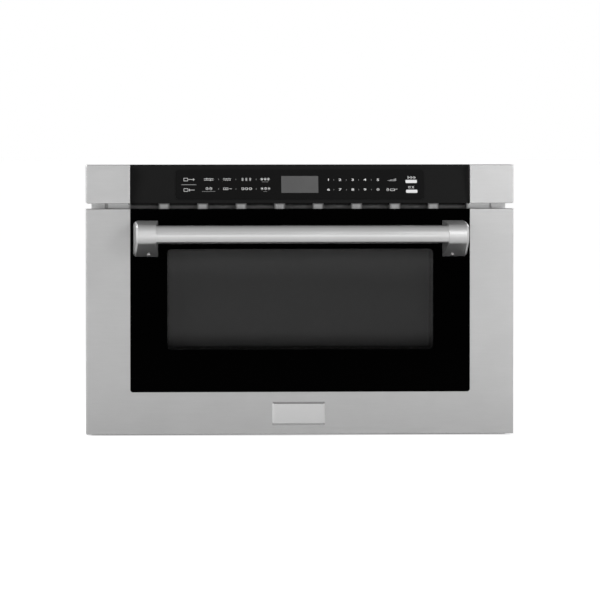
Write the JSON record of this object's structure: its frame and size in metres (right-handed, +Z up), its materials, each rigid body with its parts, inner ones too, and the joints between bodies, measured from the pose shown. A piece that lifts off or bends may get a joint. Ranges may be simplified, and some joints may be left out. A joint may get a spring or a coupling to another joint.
{
  "type": "microwave drawer",
  "caption": "Built-in microwave drawer: stainless front with glass window, bar handle and touch panel; the drawer opens on telescopic slides by a rack and pinion.",
  "frame": {"origin": "centre of the base pan's underside, which is what the oven stands on", "axes": "+X to the right as seen from the front, +Y back into the cabinet, +Z up; the drawer opens towards -Y"},
  "size_m": [0.6064, 0.6717, 0.3845],
  "materials": {
    "front_steel": "fine brushed stainless steel",
    "inner_steel": "satin stainless steel",
    "chassis_steel": "zinc-coated sheet steel with a faint spangle",
    "slide_steel": "bright zinc-plated steel",
    "dark_glass": "black tinted glass",
    "clear_glass": "clear glass",
    "glass_ceramic": "white glass-ceramic",
    "black_moulding": "black satin moulding",
    "overlay": "smooth black overlay",
    "display": "dark grey display window",
    "screen": "black enamelled perforated steel",
    "choke_plastic": "dark grey moulding",
    "natural_plastic": "off-white moulding",
    "mica": "off-white microwave-clear plastic",
    "aluminium": "plain aluminium",
    "iron_core": "varnished lamination steel",
    "circuit_board": "green circuit board",
    "gear_plastic": "white acetal",
    "motor_steel": "plated motor can",
    "fastener": "zinc-plated screw",
    "red_plastic": "red switch block"
  },
  "bodies": {
    "chassis": {"air_duct": "black_moulding", "air_grille": "inner_steel", "base_pan": "chassis_steel", "cavity_rail_left": "chassis_steel", "cavity_rail_right": "chassis_steel", "cavity_shell": "inner_steel", "control_bezel": "black_moulding", "control_board": "circuit_board", "control_frame": "front_steel", "display_lens": "display", "drive_motor": "motor_steel", "fan_housing": "black_moulding", "fan_motor": "iron_core", "front_frame": "inner_steel", "hv_capacitor": "aluminium", "interlock_switches": "red_plastic", "magnetron": "aluminium", "mains_inlet": "black_moulding", "noise_filter": "circuit_board", "oven_lamp": "natural_plastic", "power_board": "circuit_board", "power_transformer": "iron_core", "rack_guide": "chassis_steel", "rear_panel": "chassis_steel", "side_panel_left": "chassis_steel", "side_panel_right": "chassis_steel", "slide_outer_left": "slide_steel", "slide_outer_right": "slide_steel", "stirrer_cover": "mica", "stirrer_motor": "motor_steel", "thermal_cutouts": "natural_plastic", "top_cover": "chassis_steel", "touch_panel": "overlay", "waveguide": "chassis_steel"},
    "drawer": {"door_skin": "front_steel", "door_glass": "dark_glass", "window_shroud": "black_moulding", "door_screen": "screen", "door_panel": "inner_steel", "choke_cover": "choke_plastic", "inner_glass": "clear_glass", "drawer_tub": "inner_steel", "ceramic_floor": "glass_ceramic", "slide_arm_left": "slide_steel", "slide_arm_right": "slide_steel", "slide_inner_left": "slide_steel", "slide_inner_right": "slide_steel", "drive_rack": "gear_plastic", "latch_hooks": "natural_plastic", "handle_bracket_left": "front_steel", "handle_bracket_right": "front_steel", "handle_tube": "front_steel", "handle_screws": "fastener"},
    "slide_middle_left": {"slide_middle_left": "slide_steel"},
    "slide_middle_right": {"slide_middle_right": "slide_steel"},
    "drive_pinion": {"drive_pinion": "gear_plastic"},
    "stirrer": {"stirrer": "aluminium"},
    "fan_impeller": {"fan_impeller": "natural_plastic"}
  },
  "joints": [
    {"name": "drawer_slide", "type": "slide", "parent": "chassis", "child": "drawer", "axis": [0, -1, 0], "range_m": [0, 0.381]},
    {"name": "slide_middle_left", "type": "slide", "parent": "chassis", "child": "slide_middle_left", "axis": [0, -1, 0], "range_m": [0, 0.1905]},
    {"name": "slide_middle_right", "type": "slide", "parent": "chassis", "child": "slide_middle_right", "axis": [0, -1, 0], "range_m": [0, 0.1905]},
    {"name": "pinion_turn", "type": "hinge", "parent": "chassis", "child": "drive_pinion", "pos_m": [0, -0.2575, 0.032], "axis": [1, 0, 0], "range_deg": [0, 1212.77]},
    {"name": "stirrer_turn", "type": "hinge", "parent": "chassis", "child": "stirrer", "pos_m": [0, -0.0645, 0.28], "axis": [0, 0, 1], "continuous": true},
    {"name": "fan_turn", "type": "hinge", "parent": "chassis", "child": "fan_impeller", "pos_m": [-0.165, 0.27, 0.215], "axis": [0, 1, 0], "continuous": true}
  ],
  "couplings": [
    {"joint": "slide_middle_left", "follows": "drawer_slide", "ratio": 0.5},
    {"joint": "slide_middle_right", "follows": "drawer_slide", "ratio": 0.5},
    {"joint": "pinion_turn", "follows": "drawer_slide", "rad_per_m": 55.556}
  ]
}
